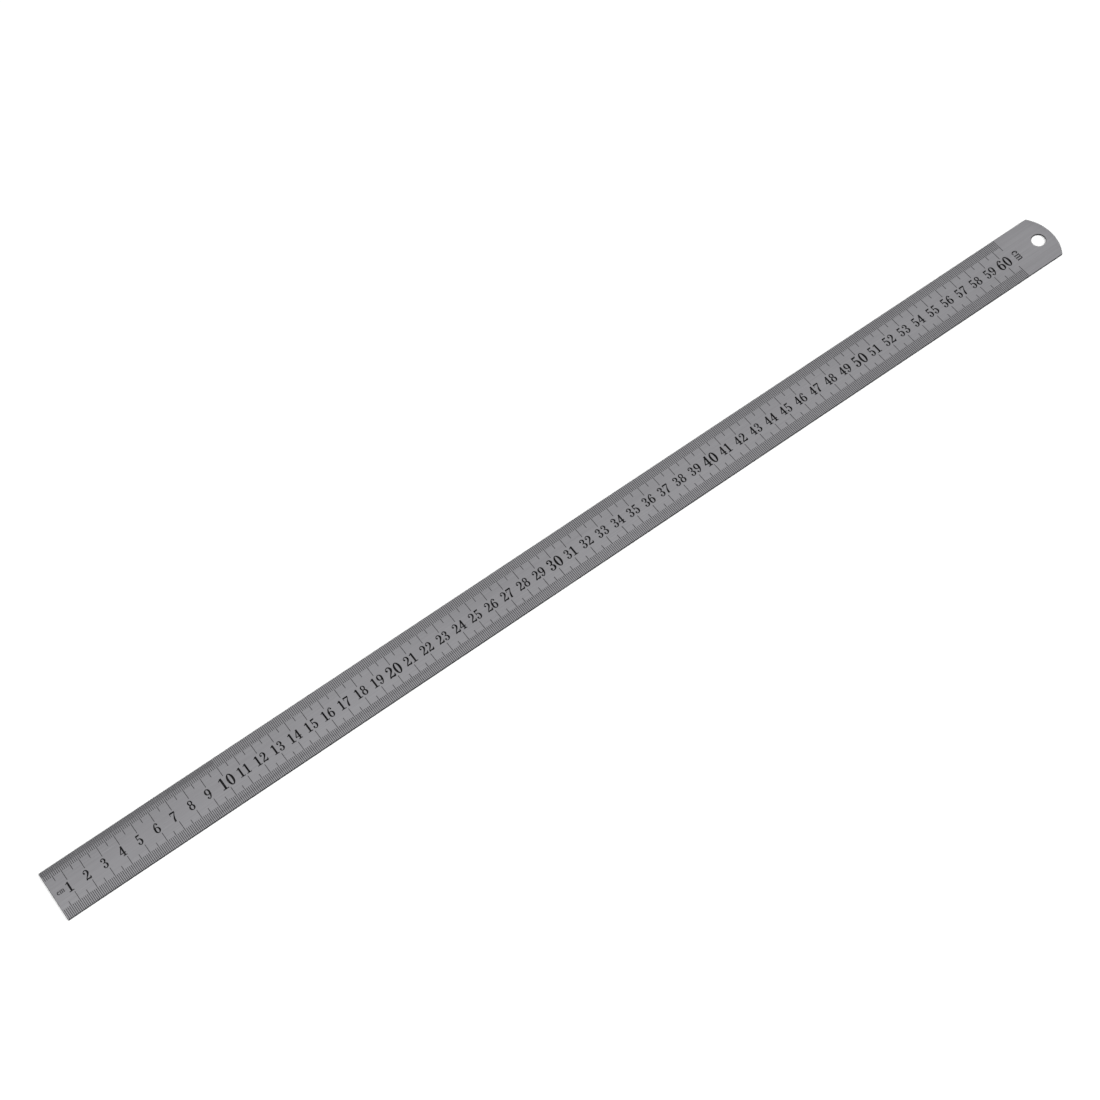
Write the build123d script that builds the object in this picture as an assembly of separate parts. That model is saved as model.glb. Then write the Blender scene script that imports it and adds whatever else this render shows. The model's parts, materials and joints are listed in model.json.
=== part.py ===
from build123d import *
import os

# Steel ruler, 60 cm. Millimetres, +Z up, the scale facing up.
# The origin is the middle of the zero end, on the face that rests on the table;
# the scale runs along +X and numerals stand upright when the zero end is on the left.

# ---- strip
WIDTH = 30.0
THICKNESS = 1.0
STRAIGHT_LENGTH = 628.3          # zero end to the corners of the rounded end
END_BULGE = 5.0                  # how far the end arc stands out past those corners
CORNER_RADIUS = 0.3
EDGE_BREAK = 0.20                # chamfer on every edge of both faces
HOLE_DIAMETER = 8.0
HOLE_FROM_ZERO = 624.5

# ---- printed scale
ENAMEL_THICKNESS = 0.03          # baked black enamel standing on the face
LINE_WIDTH = 0.28
FINE_LINE_WIDTH = 0.15           # half-millimetre lines
SCALE_END = 605                  # last line on both edges
FINE_END = 100                   # half millimetres stop here on the upper edge
# how far each kind of line reaches in from its edge of the strip
LOWER_LENGTHS = {"millimetre": 6.0, "half_centimetre": 8.4, "centimetre": 11.1}
UPPER_LENGTHS = {"half_millimetre": 3.2, "millimetre": 5.7,
                 "half_centimetre": 8.4, "centimetre": 11.4}

# ---- numerals
LAST_NUMERAL = 60
NUMERAL_HEIGHT = 5.7
TENS_HEIGHT = 6.8                # 10, 20 and so on stand taller than the rest
ROW_MIDDLE = -0.15               # height of the numeral row's middle line
DIGIT_GAP = 0.4                  # between the digits of one number, across its line
TENS_GAP = 0.6
SINGLE_SHIFT = -0.9              # a single digit stands left of its line
ZERO_UNIT_HEIGHT = 3.0           # cm beside the zero end
ZERO_UNIT_PLACE = (2.2, -1.0)    # foot of its first letter
END_UNIT_HEIGHT = 5.0            # cm after the last numeral, turned to read along the width
END_UNIT_PLACE = (607.2, 3.0)

HALF = WIDTH / 2


# ------------------------------------------------------------------ digits, one unit tall
def ring(x, y, half_width, half_height, side, top):
    """Oval bowl: heavy at the sides, thin at top and bottom."""
    bowl = Ellipse(half_width, half_height) - Ellipse(half_width - side, half_height - top)
    return Pos(x, y) * bowl


def stroke(*stations):
    """Pen stroke that swells and thins: each station is x, y and the stroke's width there."""
    points = [Vector(x, y) for x, y, width in stations]
    middle = Spline(*points)
    left, right = [], []
    for point, (x, y, width) in zip(points, stations):
        across = middle.tangent_at(point).rotate(Axis.Z, 90) * (width / 2)
        left.append(point + across)
        right.append(point - across)
    return make_face([Spline(*left), Line(left[-1], right[-1]),
                      Spline(*reversed(right)), Line(right[0], left[0])])


def ball(x, y, radius=0.085):
    """Round terminal at the tip of a thin stroke."""
    return Pos(x, y) * Circle(radius)


def bar(x0, x1, y0, y1):
    return Pos((x0 + x1) / 2, (y0 + y1) / 2) * Rectangle(x1 - x0, y1 - y0)


def wedge(*corners):
    return make_face(Polyline(*corners, close=True))


def digit_0():
    return ring(0.28, 0.5, 0.28, 0.5, 0.17, 0.075)


def digit_1():
    flag = wedge((0.37, 1.0), (0.30, 1.0), (0.06, 0.87), (0.06, 0.81), (0.28, 0.87))
    return bar(0.20, 0.37, 0, 1) + bar(0.05, 0.52, 0, 0.075) + flag


def digit_2():
    hook = stroke((0.06, 0.74, 0.06), (0.14, 0.92, 0.07), (0.28, 0.97, 0.08), (0.44, 0.75, 0.17),
                  (0.33, 0.46, 0.13), (0.13, 0.22, 0.085), (0.04, 0.02, 0.07))
    foot = stroke((0.05, 0.03, 0.08), (0.20, 0.11, 0.12), (0.40, 0.09, 0.16), (0.53, 0.30, 0.05))
    return hook + foot + ball(0.12, 0.73)


def digit_3():
    upper = stroke((0.07, 0.80, 0.06), (0.15, 0.93, 0.07), (0.27, 0.97, 0.08), (0.42, 0.76, 0.16),
                   (0.30, 0.55, 0.085), (0.18, 0.52, 0.07))
    lower = stroke((0.18, 0.52, 0.07), (0.33, 0.50, 0.08), (0.46, 0.27, 0.17), (0.27, 0.03, 0.08),
                   (0.13, 0.07, 0.07), (0.075, 0.17, 0.05))
    return upper + lower + ball(0.13, 0.79, 0.08) + ball(0.12, 0.21)


def digit_4():
    slope = wedge((0.0, 0.33), (0.36, 1.0), (0.40, 1.0), (0.40, 0.90), (0.095, 0.33))
    return bar(0.30, 0.46, 0, 1) + bar(0.19, 0.56, 0, 0.07) + bar(0.0, 0.56, 0.26, 0.34) + slope


def digit_5():
    flag = wedge((0.10, 1.0), (0.50, 1.0), (0.42, 0.86), (0.17, 0.84), (0.17, 0.5), (0.10, 0.5))
    bowl = stroke((0.14, 0.53, 0.05), (0.27, 0.61, 0.085), (0.45, 0.33, 0.17), (0.27, 0.03, 0.08),
                  (0.13, 0.07, 0.07), (0.075, 0.17, 0.05))
    return flag + bowl + ball(0.12, 0.21)


def digit_6():
    back = stroke((0.48, 0.86, 0.06), (0.33, 0.97, 0.08), (0.145, 0.73, 0.13),
                  (0.09, 0.40, 0.155), (0.10, 0.24, 0.12))
    return ring(0.28, 0.31, 0.275, 0.31, 0.165, 0.07) + back + ball(0.44, 0.83, 0.08)


def digit_7():
    stem = stroke((0.51, 0.90, 0.07), (0.36, 0.62, 0.09), (0.25, 0.32, 0.15), (0.22, 0.0, 0.17))
    return bar(0.04, 0.53, 0.85, 1.0) + bar(0.04, 0.085, 0.68, 0.90) + stem


def digit_8():
    return ring(0.28, 0.755, 0.225, 0.245, 0.13, 0.07) + ring(0.28, 0.285, 0.275, 0.285, 0.16, 0.07)


def digit_9():
    return Pos(0.56, 1.0) * Rot(0, 0, 180) * digit_6()


def letter_c():
    bow = stroke((0.42, 0.50, 0.07), (0.25, 0.63, 0.08), (0.09, 0.33, 0.16), (0.25, 0.03, 0.08),
                 (0.44, 0.15, 0.06))
    return bow + ball(0.38, 0.50, 0.085)


def letter_m():
    letter = bar(0.02, 0.12, 0.60, 0.66)
    for leg in (0.07, 0.37, 0.67):
        letter += bar(leg, leg + 0.12, 0, 0.62) + bar(leg - 0.05, leg + 0.17, 0, 0.06)
    for leg in (0.07, 0.37):
        letter += stroke((leg + 0.08, 0.50, 0.06), (leg + 0.24, 0.63, 0.08),
                         (leg + 0.36, 0.46, 0.12))
    return letter


DIGITS = [digit_0(), digit_1(), digit_2(), digit_3(), digit_4(),
          digit_5(), digit_6(), digit_7(), digit_8(), digit_9()]
DIGIT_WIDTH = 0.56


# ------------------------------------------------------------------ scale layout, flat
def sized(outline, height):
    """A digit or letter at its real height, grown from the corner where its box starts."""
    return scale(Sketch() + outline, by=height)


def number_outlines(value):
    """The digits of one number, placed about its centimetre line."""
    tens = value % 10 == 0
    height = TENS_HEIGHT if tens else NUMERAL_HEIGHT
    gap = TENS_GAP if tens else DIGIT_GAP
    width = DIGIT_WIDTH * height
    if value < 10:
        starts = [SINGLE_SHIFT - width / 2]
    else:
        starts = [-gap / 2 - width, gap / 2]
    base = ROW_MIDDLE - height / 2
    return [Pos(10 * value + start, base) * sized(DIGITS[int(digit)], height)
            for start, digit in zip(starts, str(value))]


def unit_outlines(height, place):
    """The letters cm, in a row that starts at a place."""
    letters = [letter_c(), Pos(0.52, 0) * letter_m()]
    return [place * sized(letter, height) for letter in letters]


def rank(n):
    """Which kind of line stands n half millimetres from zero."""
    if n % 20 == 0:
        return "centimetre"
    if n % 10 == 0:
        return "half_centimetre"
    return "millimetre" if n % 2 == 0 else "half_millimetre"


def line_places(kind, fine_end):
    """Distances from zero of every line of one kind on one edge."""
    return [n / 2 for n in range(1, 2 * SCALE_END + 1)
            if rank(n) == kind and (n % 2 == 0 or n / 2 < fine_end)]


# ------------------------------------------------------------------ solids
def enamel_lines(places, length, side, width):
    """A row of equal lines, each running from the broken edge of the strip inwards."""
    line = Box(width, length - EDGE_BREAK, ENAMEL_THICKNESS,
               align=(Align.CENTER, Align.MAX if side > 0 else Align.MIN, Align.MIN))
    outer = side * (HALF - EDGE_BREAK)
    return [Pos(place, outer, THICKNESS) * line for place in places]


def enamel_shapes(outlines):
    return [extrude(Pos(0, 0, THICKNESS) * outline, ENAMEL_THICKNESS) for outline in outlines]


def strip():
    """Blanked strip: square zero end, rounded hanging end with its hole, all edges broken."""
    upper, lower = (STRAIGHT_LENGTH, HALF), (STRAIGHT_LENGTH, -HALF)
    outline = make_face([
        Polyline(upper, (0, HALF), (0, -HALF), lower),
        ThreePointArc(lower, (STRAIGHT_LENGTH + END_BULGE, 0), upper)])
    outline = fillet(outline.vertices(), CORNER_RADIUS)
    outline -= Pos(HOLE_FROM_ZERO, 0) * Circle(HOLE_DIAMETER / 2)
    blank = extrude(outline, THICKNESS)
    rims = blank.faces().filter_by(Axis.Z).edges()
    return chamfer(rims, EDGE_BREAK)


def save(name, pieces):
    """One STEP for a node, whether it is one solid or a row of them."""
    solids = [piece.solid() for piece in pieces]
    shape = solids[0] if len(solids) == 1 else Compound(children=solids)
    shape.label = name
    export_step(shape, f"parts/{name}.step")


def main():
    os.makedirs("parts", exist_ok=True)
    save("blade", [strip()])

    for edge, side, lengths, fine_end in (("lower", -1, LOWER_LENGTHS, 0),
                                          ("upper", 1, UPPER_LENGTHS, FINE_END)):
        for kind, length in lengths.items():
            width = FINE_LINE_WIDTH if kind == "half_millimetre" else LINE_WIDTH
            places = line_places(kind, fine_end)
            save(f"{edge}_{kind}_lines", enamel_lines(places, length, side, width))

    for first in range(1, LAST_NUMERAL, 10):
        values = range(first, first + 10)
        outlines = [outline for value in values for outline in number_outlines(value)]
        save(f"numerals_{first}_to_{first + 9}", enamel_shapes(outlines))
    save("unit_at_zero_end", enamel_shapes(unit_outlines(ZERO_UNIT_HEIGHT, Pos(*ZERO_UNIT_PLACE))))
    turned = Pos(*END_UNIT_PLACE) * Rot(0, 0, -90)
    save("unit_at_hanging_end", enamel_shapes(unit_outlines(END_UNIT_HEIGHT, turned)))


main()
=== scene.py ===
# %% [markdown]
# A imported CAD model comes first, and it is never moved or reshaped here. Loading it gives every node of
# the ruler in metres, in its own frame: zero end at the origin, the scale along X, its face up along Z.

# %% Frame: the ruler as the drawing office made it
import json
import math
import bpy
import bmesh
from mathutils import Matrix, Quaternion, Vector


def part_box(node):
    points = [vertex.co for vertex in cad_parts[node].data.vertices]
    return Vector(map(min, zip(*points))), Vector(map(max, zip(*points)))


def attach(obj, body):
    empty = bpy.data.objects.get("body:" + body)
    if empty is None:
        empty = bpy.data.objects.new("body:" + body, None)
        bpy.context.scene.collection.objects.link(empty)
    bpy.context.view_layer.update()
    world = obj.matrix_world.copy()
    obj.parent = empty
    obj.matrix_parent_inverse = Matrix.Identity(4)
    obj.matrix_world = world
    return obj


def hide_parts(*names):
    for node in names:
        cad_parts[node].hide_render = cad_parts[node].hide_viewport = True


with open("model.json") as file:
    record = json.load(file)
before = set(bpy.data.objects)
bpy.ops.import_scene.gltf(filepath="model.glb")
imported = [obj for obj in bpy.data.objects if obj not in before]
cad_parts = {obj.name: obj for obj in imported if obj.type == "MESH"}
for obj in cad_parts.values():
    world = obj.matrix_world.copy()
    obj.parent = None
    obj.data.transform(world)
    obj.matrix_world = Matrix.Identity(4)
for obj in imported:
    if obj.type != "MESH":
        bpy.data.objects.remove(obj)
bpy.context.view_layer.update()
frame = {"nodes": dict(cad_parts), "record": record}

# %% [markdown]
# The object is a 60 cm steel ruler: one strip of stainless steel about as thick as a coin, square at
# the zero end and rounded at the other, where a hole lets it hang on a nail. A black enamel scale is
# baked on the face. There is nothing else to it, so all the realism has to come from four small
# things: how the strip's edges catch the light, the direction of the grain, the difference between the
# satin face and the sheared edge, whose near-black colour is partly painted shade, and the enamel,
# which is duller than the steel and a little worn.

# %% Sizes read from the frame
MM = 0.001
strip_low, strip_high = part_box("blade")
LENGTH = strip_high.x - strip_low.x
HALF_WIDTH = (strip_high.y - strip_low.y) / 2
THICKNESS = strip_high.z - strip_low.z
MOUNTS = {mount["name"]: mount for mount in frame["record"]["mounts"]}
HOLE = MOUNTS["hanging_hole"]
HOLE_CENTRE = Vector(HOLE["pos_m"])
HOLE_RADIUS = HOLE["dims"]["r_mm"] * MM
EDGE_BREAK = (THICKNESS - HOLE["dims"]["length_mm"] * MM) / 2
print(f"strip {LENGTH / MM:.1f} x {2 * HALF_WIDTH / MM:.1f} x {THICKNESS / MM:.2f} mm,",
      f"hole {2 * HOLE_RADIUS / MM:.1f} mm, edges broken by {EDGE_BREAK / MM:.2f} mm")

# %% [markdown]
# The rounded end is a single arc that bulges a few millimetres past the two corners. Its radius
# follows from the bulge and the half width, by the rule for a chord: radius = (chord² + bulge²) / 2
# bulge. Working it out keeps the end a true arc, where a row of typed-in points would only copy one.

# %% The end arc
END_BULGE = 5.0 * MM
END_RADIUS = (HALF_WIDTH ** 2 + END_BULGE ** 2) / (2 * END_BULGE)
END_CENTRE = Vector((strip_high.x - END_RADIUS, 0, strip_low.z))
END_ANGLE = 2 * math.asin(HALF_WIDTH / END_RADIUS)
print(f"end arc radius {END_RADIUS / MM:.2f} mm over {math.degrees(END_ANGLE):.1f} degrees")

# %% [markdown]
# The strip is blanked in a press, so it is one flat outline with thickness. The outline starts as a
# vertex at one far corner, which spin carries round the end arc. Three straight sides close it, and
# pushing the face up gives the thickness. The four corners are rounded first and the long rims last,
# so the small rounding runs on smoothly through the corners. A shop would tumble the blanks for the
# same effect: no edge on a ruler that is handled all day stays sharp enough to cut.

# %% Strip blank
CORNER_RADIUS = 0.3 * MM
ARC_STEPS = 64                       # straight pieces in the end arc



def round_edges(bm, edges, radius, segments):
    bmesh.ops.bevel(bm, geom=edges, offset=radius, offset_type="OFFSET", affect="EDGES",
                    segments=segments, profile=0.5, material=-1, clamp_overlap=True)


def strip_blank():
    bm = bmesh.new()
    corner = Vector((strip_high.x - END_BULGE, -HALF_WIDTH, strip_low.z))
    first = bmesh.ops.create_vert(bm, co=corner)["vert"][0]
    bmesh.ops.spin(bm, geom=[first], cent=END_CENTRE, axis=(0, 0, 1), angle=END_ANGLE, steps=ARC_STEPS)
    bm.verts.ensure_lookup_table()
    last = max(bm.verts, key=lambda v: v.co.y)
    near = [bm.verts.new((strip_low.x, side * HALF_WIDTH, strip_low.z)) for side in (1, -1)]
    for a, b in ((last, near[0]), (near[0], near[1]), (near[1], first)):
        bm.edges.new((a, b))
    flat = bmesh.ops.contextual_create(bm, geom=bm.edges[:])["faces"]
    raised = bmesh.ops.extrude_face_region(bm, geom=flat)["geom"]
    top_verts = [g for g in raised if isinstance(g, bmesh.types.BMVert)]
    bmesh.ops.translate(bm, vec=(0, 0, THICKNESS), verts=top_verts)
    bmesh.ops.recalc_face_normals(bm, faces=bm.faces[:])
    corners = [e for e in bm.edges if abs((e.verts[0].co - e.verts[1].co).z) > THICKNESS / 2
               and abs(abs(e.verts[0].co.y) - HALF_WIDTH) < 1e-6]
    round_edges(bm, corners, CORNER_RADIUS, 6)
    rims = [e for e in bm.edges if abs((e.verts[0].co - e.verts[1].co).z) < 1e-7]
    round_edges(bm, rims, EDGE_BREAK, 3)
    bmesh.ops.recalc_face_normals(bm, faces=bm.faces[:])
    print("blank has", len(corners), "corners and", len(rims), "rim edges")
    return bm


def as_object(bm, name):
    mesh = bpy.data.meshes.new(name)
    bm.to_mesh(mesh)
    bm.free()
    piece = bpy.data.objects.new(name, mesh)
    bpy.context.scene.collection.objects.link(piece)
    return piece


strip = as_object(strip_blank(), "ruler_strip")

# %% [markdown]
# The hanging hole is punched and then lightly countersunk on both faces. The cutter here is the shape
# of the missing metal: a half section of straight wall with a flare at each end, spun a full turn.
# Subtracting it leaves the hole's broken edges in one go, with no bevel to repair afterwards.

# %% Hanging hole
HOLE_STEPS = 96
SHARP_ABOVE = math.radians(16)       # steeper turns between faces stay crisp


def hole_cutter():
    bm = bmesh.new()
    beyond = 1 * MM
    flared = HOLE_RADIUS + EDGE_BREAK + beyond
    steps = [(flared, strip_low.z - beyond), (HOLE_RADIUS, strip_low.z + EDGE_BREAK),
             (HOLE_RADIUS, strip_high.z - EDGE_BREAK), (flared, strip_high.z + beyond)]
    axis_ends = [(0, steps[0][1])] + steps + [(0, steps[-1][1])]
    section = [bm.verts.new((HOLE_CENTRE.x + r, HOLE_CENTRE.y, z)) for r, z in axis_ends]
    for a, b in zip(section, section[1:]):
        bm.edges.new((a, b))
    bmesh.ops.spin(bm, geom=bm.verts[:] + bm.edges[:], cent=HOLE_CENTRE, axis=(0, 0, 1),
                   angle=2 * math.pi, steps=HOLE_STEPS, use_merge=True)
    bmesh.ops.remove_doubles(bm, verts=bm.verts[:], dist=1e-7)
    bmesh.ops.recalc_face_normals(bm, faces=bm.faces[:])
    return bm


cutter = as_object(hole_cutter(), "hole_cutter")
punch = strip.modifiers.new("punch", "BOOLEAN")
punch.operation, punch.solver, punch.object = "DIFFERENCE", "EXACT", cutter
punched = bpy.data.meshes.new_from_object(strip.evaluated_get(bpy.context.evaluated_depsgraph_get()))
strip.modifiers.clear()
strip.data = punched
bpy.data.objects.remove(cutter)
for polygon in strip.data.polygons:
    polygon.use_smooth = True
strip.data.set_sharp_from_angle(angle=SHARP_ABOVE)
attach(strip, "root")
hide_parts("blade")
print("strip has", len(strip.data.polygons), "faces")

# %% [markdown]
# Materials are built from a few repeated moves: read the place on the ruler, stretch it so that the
# pattern runs along the strip, and turn a noise into a range of values. Two helpers hold those moves.
# Object coordinates are used because the strip lies along X, so the grain follows it without a UV map.

# %% Material helpers
def new_material(name):
    material = bpy.data.materials.new(name)
    material.use_nodes = True
    nodes, links = material.node_tree.nodes, material.node_tree.links
    shader = nodes["Principled BSDF"]
    return material, nodes, links, shader


def stretched_noise(nodes, links, stretch, turn=0.0, detail=3.0, roughness=0.5):
    """Noise whose grains per metre differ along X, Y and Z."""
    place = nodes.new("ShaderNodeTexCoord")
    mapping = nodes.new("ShaderNodeMapping")
    mapping.inputs["Rotation"].default_value = (0, 0, math.radians(turn))
    mapping.inputs["Scale"].default_value = stretch
    noise = nodes.new("ShaderNodeTexNoise")
    noise.inputs["Scale"].default_value = 1.0
    noise.inputs["Detail"].default_value = detail
    noise.inputs["Roughness"].default_value = roughness
    links.new(place.outputs["Object"], mapping.inputs["Vector"])
    links.new(mapping.outputs["Vector"], noise.inputs["Vector"])
    return noise.outputs["Fac"]


def spread(nodes, links, value, low, high, start=0.0, end=1.0):
    """Maps start..end of a value onto low..high, held at the ends."""
    mapped = nodes.new("ShaderNodeMapRange")
    for name, number in (("From Min", start), ("From Max", end), ("To Min", low), ("To Max", high)):
        mapped.inputs[name].default_value = number
    links.new(value, mapped.inputs["Value"])
    return mapped.outputs["Result"]


def combine(nodes, links, kind, a, b):
    node = nodes.new("ShaderNodeMath")
    node.operation = kind
    for socket, value in zip(node.inputs, (a, b)):
        if isinstance(value, (int, float)):
            socket.default_value = value
        else:
            links.new(value, socket)
    return node.outputs["Value"]


def grey_between(nodes, links, amount, dark, light):
    """Colour that runs from dark to light with an amount of 0 to 1."""
    mix = nodes.new("ShaderNodeMix")
    mix.data_type = "RGBA"
    mix.inputs["A"].default_value = (*dark, 1)
    mix.inputs["B"].default_value = (*light, 1)
    links.new(amount, mix.inputs["Factor"])
    return mix.outputs["Result"]


# %% [markdown]
# Satin steel gets its look from a belt that leaves fine scratches all running one way. Three sizes of
# grain are laid over each other: hair-fine lines, coarser drag marks, and slow clouds where the belt
# pressed harder or hands have polished the face. The lines tilt the surface a little (bump) and change
# how wide the highlight spreads (roughness), while the clouds only shift the grey. A few crossing
# scratches at slight angles come from years of a scriber and knife being drawn along it.

# %% Satin steel face
def satin_steel():
    material, nodes, links, shader = new_material("satin_steel_face")
    hair = stretched_noise(nodes, links, (55, 9000, 9000), detail=2.0, roughness=0.6)
    drag = stretched_noise(nodes, links, (14, 1300, 1300), detail=4.0, roughness=0.62)
    cloud = stretched_noise(nodes, links, (9, 26, 26), detail=3.0, roughness=0.55)

    grain = combine(nodes, links, "ADD", combine(nodes, links, "MULTIPLY", hair, 0.45),
                    combine(nodes, links, "MULTIPLY", drag, 0.55))
    scratches = None
    for turn in (7, -11, 31):
        fine = stretched_noise(nodes, links, (22, 1900, 1), turn=turn, detail=1.0)
        marks = spread(nodes, links, fine, 0, 1, 0.735, 0.775)
        scratches = marks if scratches is None else combine(nodes, links, "MAXIMUM", scratches, marks)

    shade = combine(nodes, links, "ADD", spread(nodes, links, grain, 0, 0.62, 0.34, 0.66),
                    spread(nodes, links, cloud, 0, 0.38, 0.3, 0.7))
    shade = combine(nodes, links, "ADD", shade, combine(nodes, links, "MULTIPLY", scratches, 0.35))
    links.new(grey_between(nodes, links, shade, (0.42, 0.415, 0.435), (0.61, 0.605, 0.63)),
              shader.inputs["Base Color"])

    rough = combine(nodes, links, "ADD", spread(nodes, links, drag, 0.30, 0.44, 0.3, 0.7),
                    spread(nodes, links, cloud, -0.04, 0.06, 0.3, 0.7))
    rough = combine(nodes, links, "SUBTRACT", rough, combine(nodes, links, "MULTIPLY", scratches, 0.10))
    links.new(rough, shader.inputs["Roughness"])

    relief = combine(nodes, links, "SUBTRACT", grain, combine(nodes, links, "MULTIPLY", scratches, 0.5))
    bump = nodes.new("ShaderNodeBump")
    bump.inputs["Strength"].default_value = 0.35
    bump.inputs["Distance"].default_value = 0.00002
    links.new(relief, bump.inputs["Height"])
    links.new(bump.outputs["Normal"], shader.inputs["Normal"])
    shader.inputs["Metallic"].default_value = 1.0
    return material


# %% [markdown]
# The narrow sides show where the press sheared the metal: short marks across the thickness, rougher
# than the face, because the belt never reached them. They and the rounded rims between side and face
# are coloured near black: partly the duller shear skin, mostly painted shade, which draws a thin dark
# outline round the strip. Only where hands and pencils rub most is the rim lighter, polished back a
# little, in short stretches.

# %% Sheared side and rolled rim, coloured with painted shade
def sheared_side_painted_shade():
    material, nodes, links, shader = new_material("sheared_side_painted_shade")
    teeth = stretched_noise(nodes, links, (4200, 4200, 260), detail=3.0)
    # Near-black greys: painted shade for the dark outline, darker than the shear skin itself.
    links.new(grey_between(nodes, links, spread(nodes, links, teeth, 0, 1, 0.3, 0.7),
                           (0.022, 0.022, 0.024), (0.07, 0.07, 0.07)), shader.inputs["Base Color"])
    links.new(spread(nodes, links, teeth, 0.38, 0.56, 0.3, 0.7), shader.inputs["Roughness"])
    bump = nodes.new("ShaderNodeBump")
    bump.inputs["Strength"].default_value = 0.4
    bump.inputs["Distance"].default_value = 0.00003
    links.new(teeth, bump.inputs["Height"])
    links.new(bump.outputs["Normal"], shader.inputs["Normal"])
    shader.inputs["Metallic"].default_value = 1.0
    return material


def rolled_rim_painted_shade():
    material, nodes, links, shader = new_material("rolled_rim_painted_shade")
    wear = stretched_noise(nodes, links, (160, 160, 160), detail=4.0)
    # Near-black grey: painted shade for the dark outline; the lighter patches are rubbed wear.
    links.new(grey_between(nodes, links, spread(nodes, links, wear, 0, 1, 0.56, 0.76),
                           (0.028, 0.028, 0.03), (0.20, 0.20, 0.20)), shader.inputs["Base Color"])
    links.new(spread(nodes, links, wear, 0.46, 0.36, 0.56, 0.72), shader.inputs["Roughness"])
    shader.inputs["Metallic"].default_value = 1.0
    return material


# %% [markdown]
# Each face of the strip takes its finish from the way it looks: flat up or down is the belt-ground
# face, square to the table is the sheared side, and anything between is the rim. The side and rim
# finishes carry the painted shade of the dark outline.

# %% Finishes on the strip
for finish in (satin_steel(), sheared_side_painted_shade(), rolled_rim_painted_shade()):
    strip.data.materials.append(finish)
FACE, SIDE, RIM = 0, 1, 2
counts = [0, 0, 0]
for polygon in strip.data.polygons:
    flatness = abs(polygon.normal.z)
    polygon.material_index = FACE if flatness > 0.999 else SIDE if flatness < 0.01 else RIM
    counts[polygon.material_index] += 1
print("faces by finish:", dict(zip(("face", "side", "rim"), counts)))

# %% [markdown]
# The scale is black enamel printed on the face and baked. It is nearly black, never quite even, with a
# low sheen and an orange-peel skin too fine to see singly. Where the ruler slides over work the enamel
# thins to a dark grey, and here and there a pinhole lets a speck of metal show.

# %% Black enamel
def black_enamel():
    material, nodes, links, shader = new_material("black_enamel")
    peel = stretched_noise(nodes, links, (5200, 5200, 5200), detail=2.0)
    rub = stretched_noise(nodes, links, (35, 420, 420), detail=5.0, roughness=0.6)
    pinholes = stretched_noise(nodes, links, (3600, 3600, 3600), detail=1.0)
    specks = spread(nodes, links, pinholes, 0, 1, 0.78, 0.82)
    worn = combine(nodes, links, "ADD", spread(nodes, links, rub, 0, 0.12, 0.5, 0.78), specks)
    links.new(grey_between(nodes, links, worn, (0.002, 0.002, 0.0025), (0.12, 0.12, 0.12)),
              shader.inputs["Base Color"])
    links.new(spread(nodes, links, rub, 0.38, 0.58, 0.3, 0.7), shader.inputs["Roughness"])
    bump = nodes.new("ShaderNodeBump")
    bump.inputs["Strength"].default_value = 0.25
    bump.inputs["Distance"].default_value = 0.00001
    links.new(peel, bump.inputs["Height"])
    links.new(bump.outputs["Normal"], shader.inputs["Normal"])
    shader.inputs["Specular IOR Level"].default_value = 0.15
    return material


enamel = black_enamel()
enamel_nodes = [name for name in frame["nodes"] if name != "blade"]
for name in enamel_nodes:
    piece = frame["nodes"][name]
    piece.data.materials.clear()
    piece.data.materials.append(enamel)
print("enamel on", len(enamel_nodes), "groups of lines and figures")

# %% [markdown]
# The ruler lies on a plain pale tabletop. It is one big plane, a hair below the strip so the two
# surfaces don't share a height. It isn't part of the ruler.

# %% Tabletop
TABLE_HALF_SIZE = 4.0
TABLE_GAP = 0.05 * MM


def tabletop():
    bm = bmesh.new()
    bmesh.ops.create_grid(bm, x_segments=1, y_segments=1, size=TABLE_HALF_SIZE)
    bmesh.ops.translate(bm, vec=(LENGTH / 2, 0, strip_low.z - TABLE_GAP), verts=bm.verts[:])
    floor = as_object(bm, "tabletop")
    material, nodes, links, shader = new_material("pale_tabletop")
    shader.inputs["Base Color"].default_value = (0.9, 0.9, 0.9, 1)
    shader.inputs["Roughness"].default_value = 0.9
    shader.inputs["Specular IOR Level"].default_value = 0.1
    floor.data.materials.append(material)


tabletop()

# %% [markdown]
# Satin metal shows what is around it, so the lighting is mostly the room. The room is brighter overhead
# than at the horizon, as a studio with a white ceiling is, so the strip changes its grey as it turns
# and doesn't melt into the white table when seen from low down. Two large soft boxes lift the tabletop
# to near white. They are kept out of the strip's reflection, as a photographer does by cross-polarising
# the lamps, because mirrored in flat steel they would wash out the scale.

# %% Room and soft boxes
HORIZON_LIGHT, CEILING_LIGHT = 0.30, 0.63
BOX_SIDE, BOX_WATTS = 1.8, 66


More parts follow.
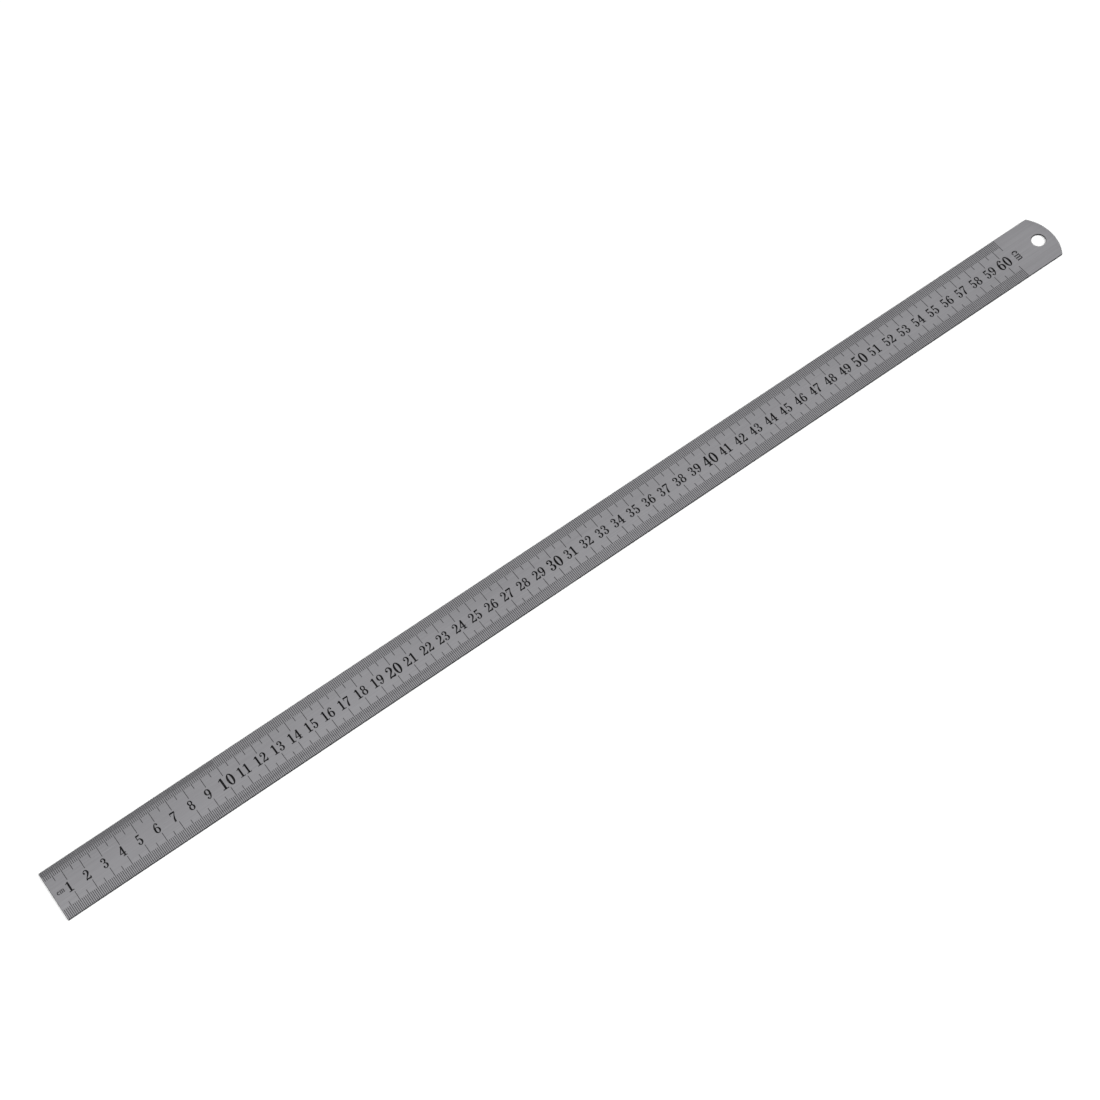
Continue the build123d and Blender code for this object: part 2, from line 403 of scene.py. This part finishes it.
def studio_room():
    room = bpy.data.worlds.new("studio_room")
    room.use_nodes = True
    nodes, links = room.node_tree.nodes, room.node_tree.links
    direction = nodes.new("ShaderNodeTexCoord")
    height = nodes.new("ShaderNodeSeparateXYZ")
    links.new(direction.outputs["Generated"], height.inputs["Vector"])
    strength = spread(nodes, links, height.outputs["Z"], HORIZON_LIGHT, CEILING_LIGHT)
    links.new(strength, nodes["Background"].inputs["Strength"])
    nodes["Background"].inputs["Color"].default_value = (1, 1, 1, 1)
    bpy.context.scene.world = room


def soft_box(name, place, aim, size, power):
    light = bpy.data.lights.new(name, "AREA")
    light.shape, light.size, light.energy = "SQUARE", size, power
    lamp = bpy.data.objects.new(name, light)
    lamp.location = place
    lamp.rotation_mode = "QUATERNION"
    lamp.rotation_quaternion = (Vector(aim) - Vector(place)).to_track_quat("-Z", "Y")
    lamp.visible_glossy = False
    bpy.context.scene.collection.objects.link(lamp)


studio_room()
middle = (LENGTH / 2, 0, 0)
for side_name, place in (("left_box", (-1.6, -1.2, 2.0)), ("right_box", (2.2, -1.5, 2.0))):
    soft_box(side_name, place, middle, BOX_SIDE, BOX_WATTS)
    print(side_name, "stands", round((Vector(place) - Vector(middle)).length, 2), "m from the ruler")
bpy.context.scene.view_settings.view_transform = "Standard"

# %% [markdown]
# The camera looks down on the ruler from the side of its lower edge at about sixty degrees, with a
# longish lens and the whole ruler running corner to corner. It is placed by what it looks at, how
# steeply, from which side and how far, and is then rolled a little, as a hand-held camera would be.

# %% Camera
AIM = Vector((0.4781 * LENGTH, 0.27 * 2 * HALF_WIDTH, strip_low.z))
STEEPNESS, SIDE_TURN, ROLL = math.radians(60.10), math.radians(-116.95), math.radians(9.83)
DISTANCE, LENS = 1.2387, 78.66
toward = Vector((math.cos(STEEPNESS) * math.cos(SIDE_TURN), math.cos(STEEPNESS) * math.sin(SIDE_TURN),
                 math.sin(STEEPNESS)))
camera = bpy.data.objects.new("camera", bpy.data.cameras.new("camera"))
camera.data.sensor_width, camera.data.lens = 36, LENS
camera.data.clip_start = 0.01
camera.location = AIM + toward * DISTANCE
camera.rotation_mode = "QUATERNION"
camera.rotation_quaternion = (-toward).to_track_quat("-Z", "Y") @ Quaternion((0, 0, 1), -ROLL)
bpy.context.scene.collection.objects.link(camera)
bpy.context.scene.camera = camera
print("camera stands", round(camera.location.z, 3), "m above the table")
